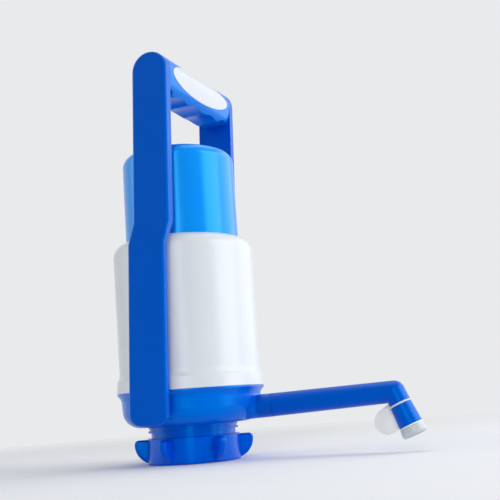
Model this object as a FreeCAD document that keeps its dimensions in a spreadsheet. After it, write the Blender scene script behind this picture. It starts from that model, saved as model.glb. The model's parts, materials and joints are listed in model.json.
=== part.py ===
import FreeCAD, Part
import math
import os
import Sketcher

# A hand pump for a large water jug. A split collet and a winged nut grip the jug's neck. A cup above
# them carries a white housing, in which a press cap slides down over a bellows. The bellows blows air
# into the jug through a flap valve, and the water leaves through the duct, the spout and the nozzle.
# A carrying handle hangs on two studs in the cup's sides.
# The origin is the centre of the collet's mouth, in the plane that the nut stands on. Z is up, X points
# along the spout and Y runs through the handle's studs. Sizes are in millimetres and degrees.

SIZES = {
    # Split collet that goes over the jug's neck
    "neck_radius": 28.0,
    "neck_depth": 22.5,
    "jaw_wall": 2.4,
    "jaw_taper_height": 4.5,
    "jaw_taper": 1.1,
    "jaw_count": 8,
    "jaw_slit_width": 2.2,
    "jaw_slit_height": 15.0,
    "collar_radius": 32.5,
    "collar_ring_height": 1.4,
    "collar_groove": 1.1,
    "gasket_thickness": 3.5,
    "gasket_inner_radius": 20.0,
    # Winged nut
    "nut_height": 18.0,
    "nut_radius": 33.4,
    "thread_gap": 0.35,
    "wing_radius": 42.8,
    "wing_thickness": 5.4,
    "wing_count": 6,
    "wing_turn": 27.0,
    "wing_widest_height": 13.8,
    "wing_curve": 14.0,
    "wing_foot": 0.9,
    "wing_corner": 3.0,
    "wing_edge_round": 2.0,
    "wing_drop": 0.7,
    # Cup
    "cup_radius": 50.1,
    "cup_height": 24.6,
    "cup_corner": 12.6,
    "cup_wall": 2.7,
    "cup_floor": 3.0,
    "cup_lip_radius": 53.3,
    "cup_lip_height": 6.0,
    "cup_lip_edge": 1.2,
    "cup_spigot_height": 7.0,
    "cup_spigot_wall": 1.9,
    "snap_bead": 0.4,
    "snap_bead_height": 1.6,
    "plate_drop": 4.1,
    "plate_ledge": 2.2,
    "vent_count": 6,
    "vent_radius": 2.2,
    "vent_circle": 16.5,
    # Studs that the handle turns on
    "pivot_height": 12.0,
    "pivot_radius": 5.0,
    "pivot_gap": 0.05,
    "pivot_boss_radius": 7.5,
    "pivot_boss_depth": 6.6,
    "pivot_spacer_radius": 6.2,
    "pivot_spacer_gap": 0.6,
    "clip_groove_depth": 1.3,
    "clip_thickness": 1.0,
    "clip_width": 2.6,
    # Water duct under and inside the cup
    "dip_socket_radius": 6.0,
    "dip_socket_depth": 7.0,
    "duct_mouth_gap": 0.3,
    "duct_wall": 2.6,
    "duct_bore_radius": 3.6,
    "duct_flange_radius": 13.0,
    "duct_flange_thickness": 2.0,
    "duct_arm_radius": 5.0,
    "duct_gap": 0.3,
    "duct_ring_radius": 10.7,
    "duct_ring_wire": 0.9,
    "duct_ring_gap": 0.2,
    # Valve plate, flap valves and screws
    "plate_thickness": 2.8,
    "plate_gap": 0.3,
    "flap_radius": 10.5,
    "flap_thickness": 1.1,
    "flap_travel": 1.5,
    "flap_stem_radius": 2.0,
    "flap_stem_gap": 0.3,
    "flap_knob_radius": 3.2,
    "flap_knob_height": 1.6,
    "port_count": 6,
    "port_radius": 2.0,
    "port_circle": 7.0,
    "screw_count": 4,
    "screw_radius": 1.2,
    "screw_head_radius": 2.2,
    "screw_head_height": 1.8,
    "plate_screw_length": 12.0,
    "plunger_screw_length": 7.2,
    "screw_boss_radius": 3.6,
    "plate_screw_circle": 40.5,
    # Bellows, its clips and the return spring
    "bellows_outer_radius": 37.0,
    "bellows_inner_radius": 27.5,
    "bellows_wall": 1.2,
    "bellows_folds": 10,
    "cuff_radius": 30.1,
    "cuff_height": 5.6,
    "cuff_collar_wall": 2.3,
    "cuff_gap": 0.15,
    "clip_band_height": 3.0,
    "clip_band_wall": 1.5,
    "spring_radius": 17.0,
    "spring_wire": 1.0,
    "spring_turns": 7,
    # Housing
    "housing_radius": 51.1,
    "housing_top_radius": 51.8,
    "housing_wall": 2.3,
    "housing_lip_radius": 53.5,
    "housing_lip_height": 8.4,
    "housing_lip_blend": 6.0,
    "housing_height": 108.9,
    "housing_shoulder": 10.0,
    # Press cap
    "cap_radius": 42.0,
    "cap_top_height": 227.0,
    "cap_wall": 2.2,
    "cap_edge_round": 8.5,
    "cap_skirt_bottom": 118.0,
    "cap_flange_radius": 48.0,
    "cap_flange_height": 3.5,
    "cap_slide_gap": 1.0,
    "plunger_depth": 5.6,
    "plunger_radius": 38.9,
    "plunger_screw_circle": 35.5,
    "plunger_post_radius": 3.0,
    # Handle, measured from its studs
    "handle_lean": 2.46,
    "arm_bottom": 10.6,
    "arm_foot_half_width": 14.7,
    "arm_foot_round": 8.0,
    "arm_half_width": 14.1,
    "arm_lower_outer": 61.8,
    "arm_lower_inner": 57.4,
    "arm_upper_outer": 54.6,
    "arm_upper_inner": 47.9,
    "jog_bottom": 112.7,
    "jog_top": 128.8,
    "arm_top_centre": 239.6,
    "grip_bottom": 216.5,
    "grip_foot_half_width": 8.0,
    "grip_corner_rise": 5.0,
    "arm_edge_round": 1.8,
    "scallop_count": 3,
    "scallop_depth": 4.5,
    "ridge_span": 69.0,
    "ridge_round": 2.5,
    "grip_foot_round": 3.0,
    "panel_half_length": 43.0,
    "panel_half_height": 10.6,
    "panel_seat": 6.0,
    "panel_gap": 0.15,
    "panel_proud": 0.3,
    # Spout, along its own sloping axis from the middle of the cup
    "spout_rise": 7.7,
    "spout_tilt": 1.9,
    "stub_start": 41.0,
    "stub_end": 65.2,
    "stub_radius": 8.1,
    "stub_socket_depth": 14.0,
    "stub_counterbore": 4.0,
    "spigot_radius": 5.8,
    "spigot_gap": 0.08,
    "seal_groove": 1.2,
    "tube_root_radius": 8.0,
    "tube_end_radius": 7.2,
    "tube_bore_radius": 4.4,
    "elbow_reach": 151.7,
    "seam_gap": 0.15,
    # Nozzle, along its own axis from the corner of the elbow
    "nozzle_angle": 22.0,
    "neck_length": 8.0,
    "neck_spigot_radius": 5.7,
    "neck_spigot_length": 9.0,
    "ring_height": 1.2,
    "ring_radius": 7.75,
    "ring_bore_gap": 0.25,
    "sleeve_end": 24.0,
    "sleeve_top_radius": 7.3,
    "sleeve_end_radius": 8.0,
    "tip_end": 30.6,
    "tip_radius": 8.5,
    "tip_bore_radius": 6.9,
    "tip_round": 2.2,
    "tip_socket_depth": 5.0,
    # Plug lid that hangs from the ring
    "lid_radius": 7.6,
    "lid_across": 15.7,
    "lid_down": 15.6,
    "lid_thickness": 1.6,
    "lid_plug_radius": 6.6,
    "lid_plug_wall": 1.1,
    "lid_plug_height": 3.4,
    "lid_eye_radius": 1.8,
    "lid_eye_across": 10.6,
    "lid_eye_down": 8.7,
    "lid_eye_gap": 0.3,
    "ear_width": 4.0,
}

os.makedirs("parts", exist_ok=True)
doc = FreeCAD.newDocument("jug_hand_pump")
sheet = doc.addObject("Spreadsheet::Sheet", "sizes")
for row, (alias, number) in enumerate(SIZES.items(), start=1):
    sheet.set(f"A{row}", alias)
    sheet.set(f"B{row}", str(number))
    sheet.setAlias(f"B{row}", alias)
doc.recompute()


class Length:
    """A size that carries both its value and its formula in the sheet."""

    def __init__(self, value, formula):
        self.value = float(value)
        self.formula = formula

    def __add__(self, other):
        other = length(other)
        return Length(self.value + other.value, f"({self.formula} + {other.formula})")

    def __sub__(self, other):
        other = length(other)
        return Length(self.value - other.value, f"({self.formula} - {other.formula})")

    def __mul__(self, other):
        other = length(other)
        return Length(self.value * other.value, f"({self.formula} * {other.formula})")

    def __truediv__(self, other):
        other = length(other)
        return Length(self.value / other.value, f"({self.formula} / {other.formula})")

    def __neg__(self):
        return Length(-self.value, f"(-{self.formula})")

    __radd__ = __add__
    __rmul__ = __mul__

    def __rsub__(self, other):
        return length(other) - self


def length(thing):
    """A plain number becomes a constant length."""
    if isinstance(thing, Length):
        return thing
    return Length(thing, repr(float(thing)))


def root(size):
    """Square root of a length, kept with its formula."""
    return Length(math.sqrt(size.value), f"sqrt({size.formula})")


class Sizes:
    """Every cell of the sheet by its name."""


S = Sizes()
for alias, number in SIZES.items():
    setattr(S, alias, Length(number, f"sizes.{alias}"))

NODES = {}


def node(name, thing):
    """Keep a finished sub-part under its node name."""
    thing.Label = name
    NODES[name] = thing
    return thing


def bind(thing, prop, size):
    """Tie one property to the sheet."""
    thing.setExpression(prop, length(size).formula)


def new_body(name):
    return doc.addObject("PartDesign::Body", name)


def place(thing, x=0, z=0, tilt=0):
    """Put a finished sub-part at (x, 0, z), turned by `tilt` degrees about Y, nose up for plus."""
    angle = length(tilt)
    spin = FreeCAD.Rotation(FreeCAD.Vector(0, -1, 0), angle.value)
    thing.Placement = FreeCAD.Placement(FreeCAD.Vector(length(x).value, 0, length(z).value), spin)
    bind(thing, "Placement.Base.x", x)
    bind(thing, "Placement.Base.z", z)
    bind(thing, "Placement.Rotation.Angle", angle)


def origin_part(body, role):
    for feature in body.Origin.OriginFeatures:
        if feature.Role == role:
            return feature
    raise ValueError(role)


def sketch_on(body, plane, at=(0, 0), lift=0, turn=0):
    """A sketch on one of the body's own planes, shifted in it, lifted off it and turned in it."""
    sketch = body.newObject("Sketcher::SketchObject", body.Name + "_sketch")
    sketch.AttachmentSupport = [(origin_part(body, plane), "")]
    sketch.MapMode = "FlatFace"
    across, up = length(at[0]), length(at[1])
    raised, angle = length(lift), length(turn)
    spin = FreeCAD.Rotation(FreeCAD.Vector(0, 0, 1), angle.value)
    base = FreeCAD.Vector(across.value, up.value, raised.value)
    sketch.AttachmentOffset = FreeCAD.Placement(base, spin)
    bind(sketch, "AttachmentOffset.Base.x", across)
    bind(sketch, "AttachmentOffset.Base.y", up)
    bind(sketch, "AttachmentOffset.Base.z", raised)
    if angle.value:
        bind(sketch, "AttachmentOffset.Rotation.Angle", angle)
    return sketch


def fix_point(sketch, edge, end, x, y):
    """Hold one end of an edge at a place that the sheet gives."""
    for kind, axis, size in (("DistanceX", -2, length(x)), ("DistanceY", -1, length(y))):
        if size.value == 0 and "sizes" not in size.formula:
            sketch.addConstraint(Sketcher.Constraint("PointOnObject", edge, end, axis))
            continue
        number = sketch.addConstraint(Sketcher.Constraint(kind, -1, 1, edge, end, size.value))
        if "sizes" in size.formula:
            sketch.setExpression(f"Constraints[{number}]", size.formula)


def outline(sketch, *steps):
    """Draw one closed outline through points (x, y). A third number in a step is the radius of an arc
    that leads to its point: plus turns left and minus turns right."""
    points = [(length(step[0]), length(step[1])) for step in steps]
    bends = [length(step[2]) if len(step) > 2 else None for step in steps]
    ends = []
    for index in range(len(points)):
        (x0, y0), (x1, y1) = points[index - 1], points[index]
        start = FreeCAD.Vector(x0.value, y0.value, 0)
        finish = FreeCAD.Vector(x1.value, y1.value, 0)
        bend = bends[index]
        if bend is None:
            edge = sketch.addGeometry(Part.LineSegment(start, finish), False)
            ends.append((edge, 1, 2))
            continue
        chord = finish - start
        radius = abs(bend.value)
        side = math.copysign(1, bend.value)
        left = FreeCAD.Vector(-chord.y, chord.x, 0).normalize()
        rise = math.sqrt(max(radius**2 - (chord.Length / 2) ** 2, 0))
        centre = (start + finish) * 0.5 + left * (rise * side)
        first, last = (start, finish) if side > 0 else (finish, start)
        angles = [math.atan2(p.y - centre.y, p.x - centre.x) for p in (first, last)]
        full_circle = Part.Circle(centre, FreeCAD.Vector(0, 0, 1), radius)
        edge = sketch.addGeometry(Part.ArcOfCircle(full_circle, angles[0], angles[1]), False)
        if chord.Length > radius * 1.9999:
            # Half a circle: its ends give the radius, so only the level of its centre is left to hold
            across = abs(chord.x) > abs(chord.y)
            kind, size = ("DistanceY", y0) if across else ("DistanceX", x0)
            number = sketch.addConstraint(Sketcher.Constraint(kind, -1, 1, edge, 3, size.value))
            sketch.setExpression(f"Constraints[{number}]", size.formula)
        else:
            number = sketch.addConstraint(Sketcher.Constraint("Radius", edge, radius))
            if "sizes" in bend.formula:
                sketch.setExpression(f"Constraints[{number}]", f"abs({bend.formula})")
        ends.append((edge, 1, 2) if side > 0 else (edge, 2, 1))
    for index in range(len(points)):
        edge, _, last = ends[index]
        following, first, _ = ends[(index + 1) % len(points)]
        sketch.addConstraint(Sketcher.Constraint("Coincident", edge, last, following, first))
        fix_point(sketch, edge, last, *points[index])
    return sketch


def circle(sketch, x, y, radius):
    """Draw one circle at a place and of a radius that the sheet gives."""
    middle = FreeCAD.Vector(length(x).value, length(y).value, 0)
    round_edge = Part.Circle(middle, FreeCAD.Vector(0, 0, 1), length(radius).value)
    edge = sketch.addGeometry(round_edge, False)
    fix_point(sketch, edge, 3, x, y)
    number = sketch.addConstraint(Sketcher.Constraint("Radius", edge, length(radius).value))
    sketch.setExpression(f"Constraints[{number}]", length(radius).formula)
    return sketch


def revolve(body, sketch, axis="V_Axis", cut=False):
    kind = "PartDesign::Groove" if cut else "PartDesign::Revolution"
    feature = body.newObject(kind, body.Name + ("_groove" if cut else "_turning"))
    feature.Profile = sketch
    feature.ReferenceAxis = (sketch, [axis])
    feature.Angle = 360
    doc.recompute()
    return feature


def pad(body, sketch, size, both=False, cut=False, reverse=False):
    """Raise or cut a sketch by `size` along its plane's normal, half each way where `both` is set."""
    kind = "PartDesign::Pocket" if cut else "PartDesign::Pad"
    feature = body.newObject(kind, body.Name + ("_pocket" if cut else "_pad"))
    feature.Profile = sketch
    feature.SideType = "Symmetric" if both else "One side"
    feature.Reversed = reverse
    feature.Length = length(size).value
    bind(feature, "Length", size)
    doc.recompute()
    return feature


def polar(body, features, count, role="Z_Axis"):
    """Repeat features evenly about one of the body's axes."""
    pattern = body.newObject("PartDesign::PolarPattern", body.Name + "_pattern")
    pattern.Originals = features
    pattern.Axis = (origin_part(body, role), [""])
    pattern.Angle = 360
    pattern.Occurrences = int(length(count).value)
    bind(pattern, "Occurrences", count)
    body.Tip = pattern
    doc.recompute()
    return pattern


def mirror(body, features, plane):
    """Repeat features on the other side of one of the body's planes."""
    copy = body.newObject("PartDesign::Mirrored", body.Name + "_mirror")
    copy.Originals = features
    copy.MirrorPlane = (origin_part(body, plane), [""])
    body.Tip = copy
    doc.recompute()
    return copy


def round_edges(body, base, radius, wanted):
    """Round the edges of a feature whose middle point and direction pass the test `wanted`."""
    names = []
    for number, edge in enumerate(base.Shape.Edges, start=1):
        middle = edge.valueAt((edge.FirstParameter + edge.LastParameter) / 2)
        if wanted(edge, middle):
            names.append(f"Edge{number}")
    fillet = body.newObject("PartDesign::Fillet", body.Name + "_rounding")
    fillet.Base = (base, names)
    fillet.Radius = length(radius).value
    bind(fillet, "Radius", radius)
    doc.recompute()
    return fillet


# Heights that several pieces share
cup_bottom = S.neck_depth + S.gasket_thickness
cup_rim = cup_bottom + S.cup_height
deck_top = cup_bottom + S.cup_floor
plate_bottom = cup_rim - S.plate_drop
plate_top = plate_bottom + S.plate_thickness
cup_inside = S.cup_radius - S.cup_wall
spigot_outside = cup_inside + 1.0
spigot_inside = spigot_outside - S.cup_spigot_wall
plate_radius = spigot_inside - S.plate_gap
duct_outside = S.dip_socket_radius + S.duct_wall
duct_mouth = S.neck_depth + S.duct_mouth_gap
duct_groove_floor = deck_top - S.duct_ring_wire * 2 - 0.06
pivot_z = cup_bottom + S.pivot_height
spout_z = cup_bottom + S.spout_rise
housing_top = cup_rim + S.housing_height
ceiling = S.cap_top_height - S.cap_wall
plunger_top = ceiling - S.plunger_depth
plunger_bottom = plunger_top - S.plate_thickness
collet_outside = S.neck_radius + S.jaw_wall
nut_bore = collet_outside + S.thread_gap
grip_depth = S.arm_top_centre - S.grip_bottom
grip_narrowing = S.arm_half_width - S.grip_foot_half_width
grip_curve = (grip_narrowing * grip_narrowing + grip_depth * grip_depth) / (grip_narrowing * 2)


def make_collet():
    """Split collet: a ring with slit jaws below and a ribbed collar above."""
    body = new_body("neck_collet")
    ring, groove = S.collar_ring_height, S.collar_groove
    collar_bottom = cup_bottom - ring * 3
    shape = sketch_on(body, "XZ_Plane")
    outline(
        shape,
        (S.neck_radius, 0),
        (collet_outside - S.jaw_taper, 0),
        (collet_outside, S.jaw_taper_height),
        (collet_outside, collar_bottom),
        (S.collar_radius, collar_bottom),
        (S.collar_radius, collar_bottom + ring),
        (S.collar_radius - groove, collar_bottom + ring),
        (S.collar_radius - groove, collar_bottom + ring * 2),
        (S.collar_radius - 0.3, collar_bottom + ring * 2),
        (S.collar_radius - 0.3, cup_bottom),
        (S.neck_radius + 0.6, cup_bottom),
        (S.neck_radius + 0.6, S.neck_depth),
        (S.neck_radius, S.neck_depth),
    )
    revolve(body, shape)
    half = S.jaw_slit_width / 2
    slit = sketch_on(body, "XZ_Plane")
    outline(
        slit,
        (-half, -1),
        (half, -1),
        (half, S.jaw_slit_height - half),
        (-half, S.jaw_slit_height - half, half),
    )
    slit_cut = pad(body, slit, S.collar_radius + 5, cut=True, reverse=True)
    polar(body, [slit_cut], S.jaw_count)
    return node("neck_collet", body)


def make_nut():
    """Winged nut: a ring with a tapered seat for the jaws and round-edged finger wings."""
    ring = new_body("nut_ring")
    shape = sketch_on(ring, "XZ_Plane")
    outline(
        shape,
        (nut_bore - S.jaw_taper, 0),
        (S.nut_radius - 0.8, 0),
        (S.nut_radius, 0.8, 0.8),
        (S.nut_radius, S.nut_height - 0.6),
        (S.nut_radius - 0.6, S.nut_height, 0.6),
        (nut_bore, S.nut_height),
        (nut_bore, S.jaw_taper_height),
    )
    revolve(ring, shape)

    wings = new_body("nut_wings")
    wings.AllowCompound = True
    corner = S.wing_corner
    root = nut_bore + 0.8
    low = S.wing_foot
    top = S.nut_height - S.wing_drop
    wing = sketch_on(wings, "XZ_Plane")
    outline(
        wing,
        (root, low),
        (S.nut_radius, low),
        (S.wing_radius, S.wing_widest_height, S.wing_curve),
        (S.wing_radius, top - corner),
        (S.wing_radius - corner, top, corner),
        (root, top),
    )
    blade = pad(wings, wing, S.wing_thickness, both=True)
    blades = polar(wings, [blade], S.wing_count)
    half = S.wing_thickness.value / 2
    step = 360 / S.wing_count.value

    def blade_edge(edge, middle):
        bearing = math.degrees(math.atan2(middle.y, middle.x))
        off_blade = math.radians(bearing - step * round(bearing / step))
        distance = math.hypot(middle.x, middle.y)
        on_side = abs(abs(distance * math.sin(off_blade)) - half) < 0.01
        return on_side and distance > S.nut_radius.value

    round_edges(wings, blades, S.wing_edge_round, blade_edge)
    nut = doc.addObject("Part::Fuse", "clamp_nut")
    nut.Base = ring
    nut.Tool = wings
    nut.Placement = FreeCAD.Placement(FreeCAD.Vector(), FreeCAD.Rotation(FreeCAD.Vector(0, 0, 1), 1))
    bind(nut, "Placement.Rotation.Angle", S.wing_turn)
    return node("clamp_nut", nut)


def make_gasket():
    """Flat rubber ring on which the top of the jug's neck seals."""
    body = new_body("neck_gasket")
    outer = S.neck_radius + 0.5
    bead = S.gasket_thickness / 7
    shape = sketch_on(body, "XZ_Plane")
    outline(
        shape,
        (S.gasket_inner_radius, S.neck_depth + bead),
        (S.gasket_inner_radius + 2, S.neck_depth),
        (outer, S.neck_depth),
        (outer, cup_bottom),
        (S.gasket_inner_radius, cup_bottom),
    )
    revolve(body, shape)
    return node("neck_gasket", body)


def make_cup():
    """Base cup: floor with a seal groove, bowl, flared lip, spigot, screw bosses, stud holes and stub."""
    body = new_body("base_cup")
    hole = duct_outside + S.duct_gap
    corner = S.cup_corner
    inner_corner = corner - S.cup_wall
    lip_bottom = cup_rim - S.cup_lip_height
    edge = S.cup_lip_edge
    ledge = cup_inside - S.plate_ledge
    bead = S.snap_bead
    bead_bottom = cup_rim + 2.6
    groove_half = S.duct_ring_wire + S.duct_ring_gap
    groove_in = S.duct_ring_radius - groove_half
    groove_out = S.duct_ring_radius + groove_half
    shape = sketch_on(body, "XZ_Plane")
    outline(
        shape,
        (hole, cup_bottom),
        (S.cup_radius - corner, cup_bottom),
        (S.cup_radius, cup_bottom + corner, corner),
        (S.cup_radius + 0.4, lip_bottom),
        (S.cup_lip_radius, cup_rim - edge, -6.5),
        (S.cup_lip_radius, cup_rim),
        (spigot_outside, cup_rim),
        (spigot_outside, bead_bottom),
        (spigot_outside + bead, bead_bottom + S.snap_bead_height / 2),
        (spigot_outside, bead_bottom + S.snap_bead_height),
        (spigot_outside, cup_rim + S.cup_spigot_height),
        (spigot_inside, cup_rim + S.cup_spigot_height),
        (spigot_inside, plate_bottom),
        (ledge, plate_bottom),
        (ledge, plate_bottom - 1.6),
        (cup_inside, plate_bottom - 1.6 - S.plate_ledge),
        (cup_inside, deck_top + inner_corner),
        (cup_inside - inner_corner, deck_top, -inner_corner),
        (groove_out, deck_top),
        (groove_out, duct_groove_floor),
        (groove_in, duct_groove_floor),
        (groove_in, deck_top),
        (hole, deck_top),
    )
    revolve(body, shape)

    boss = sketch_on(body, "XY_Plane", lift=deck_top - 0.5)
    across = S.plate_screw_circle * math.cos(math.pi / 4)
    circle(boss, across, across, S.screw_boss_radius)
    boss_height = plate_bottom - deck_top + 0.5
    boss_pad = pad(body, boss, boss_height)
    pilot = sketch_on(body, "XY_Plane", lift=plate_bottom)
    circle(pilot, across, across, S.screw_radius + 0.05)
    pilot_cut = pad(body, pilot, S.plate_screw_length, cut=True)
    polar(body, [boss_pad, pilot_cut], S.screw_count)

    vent = sketch_on(body, "XY_Plane", lift=deck_top + 1)
    circle(vent, S.vent_circle * 0, S.vent_circle, S.vent_radius)
    vent_cut = pad(body, vent, S.cup_floor + 2, cut=True)
    polar(body, [vent_cut], S.vent_count)

    inner_end = cup_inside - S.pivot_boss_depth + S.cup_wall
    stud_boss = sketch_on(body, "XZ_Plane", at=(0, pivot_z), lift=inner_end)
    circle(stud_boss, 0, 0, S.pivot_boss_radius)
    stud_pad = pad(body, stud_boss, S.pivot_boss_depth - 1.2)
    mirror(body, [stud_pad], "XZ_Plane")
    stud_hole = sketch_on(body, "XZ_Plane", at=(0, pivot_z))
    circle(stud_hole, 0, 0, S.pivot_radius + S.pivot_gap)
    pad(body, stud_hole, S.cup_lip_radius * 2, both=True, cut=True)

    stub = sketch_on(body, "XZ_Plane", at=(0, spout_z), turn=S.spout_tilt)
    outline(
        stub,
        (S.stub_start, 0),
        (S.stub_end, 0),
        (S.stub_end, S.stub_radius - 0.3),
        (S.stub_end - 0.3, S.stub_radius),
        (S.stub_start, S.stub_radius),
    )
    revolve(body, stub, "H_Axis")
    socket = S.spigot_radius + S.spigot_gap
    socket_start = S.stub_end - S.stub_socket_depth
    seat = S.stub_start + S.stub_counterbore
    bore = sketch_on(body, "XZ_Plane", at=(0, spout_z), turn=S.spout_tilt)
    outline(
        bore,
        (S.stub_start - 1, 0),
        (S.stub_end + 1, 0),
        (S.stub_end + 1, socket),
        (socket_start, socket),
        (socket_start, S.duct_bore_radius),
        (seat, S.duct_bore_radius),
        (seat, S.duct_arm_radius + 0.1),
        (S.stub_start - 1, S.duct_arm_radius + 0.1),
    )
    revolve(body, bore, "H_Axis", cut=True)
    return node("base_cup", body)


def make_duct():
    """Water duct: a socket for the dip tube, a flange that seals on the floor and an arm to the stub."""
    body = new_body("water_duct")
    top = spout_z + S.duct_arm_radius + 1
    shape = sketch_on(body, "XZ_Plane")
    outline(
        shape,
        (0, duct_mouth),
        (duct_outside, duct_mouth),
        (duct_outside, deck_top),
        (S.duct_flange_radius, deck_top),
        (S.duct_flange_radius, deck_top + S.duct_flange_thickness),
        (duct_outside, deck_top + S.duct_flange_thickness),
        (duct_outside, top - 2),
        (duct_outside - 2, top, 2),
        (0, top),
    )
    revolve(body, shape)
    arm = sketch_on(body, "XZ_Plane", at=(0, spout_z), turn=S.spout_tilt)
    arm_end = S.stub_start + S.stub_counterbore
    outline(
        arm,
        (0, 0),
        (arm_end, 0),
        (arm_end, S.duct_arm_radius - 0.4),
        (arm_end - 0.4, S.duct_arm_radius),
        (0, S.duct_arm_radius),
    )
    revolve(body, arm, "H_Axis")
    socket_top = duct_mouth + S.dip_socket_depth
    bore = sketch_on(body, "XZ_Plane")
    outline(
        bore,
        (0, duct_mouth - 1),
        (S.dip_socket_radius, duct_mouth - 1),
        (S.dip_socket_radius, socket_top),
        (S.duct_bore_radius, socket_top),
        (S.duct_bore_radius, spout_z),
        (0, spout_z),
    )
    revolve(body, bore, cut=True)
    arm_bore = sketch_on(body, "XZ_Plane", at=(0, spout_z), turn=S.spout_tilt)
    outline(
        arm_bore,
        (0, 0),
        (arm_end + 1, 0),
        (arm_end + 1, S.duct_bore_radius),
        (0, S.duct_bore_radius),
    )
    revolve(body, arm_bore, "H_Axis", cut=True)
    return node("water_duct", body)


def make_ring_seal(name, middle_radius, wire, height):
    """O-ring that lies level at one height."""
    seal = doc.addObject("Part::Torus", name)
    bind(seal, "Radius1", middle_radius)
    bind(seal, "Radius2", wire)
    bind(seal, "Placement.Base.z", height)
    return node(name, seal)


def make_plate(name, bottom, radius, collar_up, screw_circle):
    """Valve plate: a disc with ports, a stem hole, screw holes and a collar for the bellows cuff."""
    body = new_body(name)
    top = bottom + S.plate_thickness
    collar_out = S.cuff_radius - S.cuff_gap
    collar_in = collar_out - S.cuff_collar_wall
    shape = sketch_on(body, "XZ_Plane")
    if collar_up:
        tip = top + S.cuff_height
        outline(
            shape,
            (0, bottom),
            (radius, bottom),
            (radius, top),
            (collar_out, top),
            (collar_out, tip),
            (collar_in, tip),
            (collar_in, top),
            (0, top),
        )
    else:
        tip = bottom - S.cuff_height
        outline(
            shape,
            (0, bottom),
            (collar_in, bottom),
            (collar_in, tip),
            (collar_out, tip),
            (collar_out, bottom),
            (radius, bottom),
            (radius, top),
            (0, top),
        )
    revolve(body, shape)
    stem = sketch_on(body, "XY_Plane", lift=top + 1)
    circle(stem, 0, 0, S.flap_stem_radius + S.flap_stem_gap)
    pad(body, stem, S.plate_thickness + 2, cut=True)
    port = sketch_on(body, "XY_Plane", lift=top + 1)
    circle(port, S.port_circle, 0, S.port_radius)
    port_cut = pad(body, port, S.plate_thickness + 2, cut=True)
    polar(body, [port_cut], S.port_count)
    hole = sketch_on(body, "XY_Plane", lift=top + 1)
    across = screw_circle * math.cos(math.pi / 4)
    circle(hole, across, across, S.screw_radius + 0.3)
    hole_cut = pad(body, hole, S.plate_thickness + 2, cut=True)
    polar(body, [hole_cut], S.screw_count)
    return node(name, body)


def make_screws(name, screw_circle, seat, shank_length, head_up):
    """A set of equal screws in one ring, their heads above or below the seat."""
    body = new_body(name)
    body.AllowCompound = True
    across = screw_circle * math.cos(math.pi / 4)
    head = sketch_on(body, "XY_Plane", lift=seat)
    circle(head, across, across, S.screw_head_radius)
    head_pad = pad(body, head, S.screw_head_height, reverse=not head_up)
    shank = sketch_on(body, "XY_Plane", lift=seat)
    circle(shank, across, across, S.screw_radius)
    shank_pad = pad(body, shank, shank_length, reverse=head_up)
    polar(body, [head_pad, shank_pad], S.screw_count)
    return node(name, body)


def make_flap(name, plate_under):
    """Rubber flap valve: a disc under its plate, a stem through it and a knob that limits the drop."""
    body = new_body(name)
    disc_bottom = plate_under - S.flap_thickness
    top = plate_under + S.plate_thickness
    knob = top + S.flap_travel + 0.2
    shape = sketch_on(body, "XZ_Plane")
    outline(
        shape,
        (0, disc_bottom),
        (S.flap_radius - 1.5, disc_bottom),
        (S.flap_radius, plate_under - 0.5),
        (S.flap_radius, plate_under),
        (S.flap_stem_radius, plate_under),
        (S.flap_stem_radius, knob),
        (S.flap_knob_radius, knob),
        (S.flap_stem_radius, knob + S.flap_knob_height),
        (0, knob + S.flap_knob_height),
    )
    revolve(body, shape)
    return node(name, body)


def make_bellows():
    """Rubber bellows: two cuffs and a row of folds between them, as one turned wall."""
    body = new_body("bellows")
    wall = S.bellows_wall
    bottom_end = plate_top + 0.1
    top_end = plunger_bottom - 0.1
    fold_start = bottom_end + S.cuff_height
    fold_end = top_end - S.cuff_height
    count = int(S.bellows_folds.value)
    pitch = (fold_end - fold_start) / S.bellows_folds
    valley, crest = S.bellows_inner_radius, S.bellows_outer_radius
    outer = [(S.cuff_radius + wall, bottom_end), (S.cuff_radius + wall, fold_start)]
    inner = [(S.cuff_radius, bottom_end), (S.cuff_radius, fold_start)]
    for fold in range(count):
        middle = fold_start + pitch * (fold + 0.5)
        outer.append((crest, middle))
        inner.append((crest - wall * 1.3, middle))
        if fold < count - 1:
            top = fold_start + pitch * (fold + 1)
            outer.append((valley + wall * 1.3, top))
            inner.append((valley, top))
    outer += [(S.cuff_radius + wall, fold_end), (S.cuff_radius + wall, top_end)]
    inner += [(S.cuff_radius, fold_end), (S.cuff_radius, top_end)]
    shape = sketch_on(body, "XZ_Plane")
    outline(shape, *(outer + inner[::-1]))
    revolve(body, shape)
    return node("bellows", body)


def make_band(name, bottom):
    """Band clip round one cuff of the bellows."""
    body = new_body(name)
    inner = S.cuff_radius + S.bellows_wall + 0.1
    outer = inner + S.clip_band_wall
    shape = sketch_on(body, "XZ_Plane")
    outline(
        shape,
        (inner, bottom),
        (outer, bottom),
        (outer, bottom + S.clip_band_height),
        (inner, bottom + S.clip_band_height),
    )
    revolve(body, shape)
    return node(name, body)


def biarc(start, finish, start_way, finish_way):
    """Two arcs that join two points and run smoothly into the given directions."""
    span, ways = finish - start, start_way + finish_way
    along, bend = span.dot(ways), ways.dot(ways) - 4
    reach = (along - math.sqrt(along**2 - bend * span.dot(span))) / bend
    joint = (start + finish + (start_way - finish_way) * reach) * 0.5
    arcs = []
    for first, last, corner in (
        (start, joint, start + start_way * reach),
        (joint, finish, finish - finish_way * reach),
    ):
        middle = (first + last) * 0.5
        half = (last - first).Length / 2
        open_angle = math.acos(half / reach)
        outward = (corner - middle).normalize()
        arcs.append(Part.Arc(first, middle + outward * (half * math.tan(open_angle / 2)), last).toShape())
    return arcs


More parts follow.
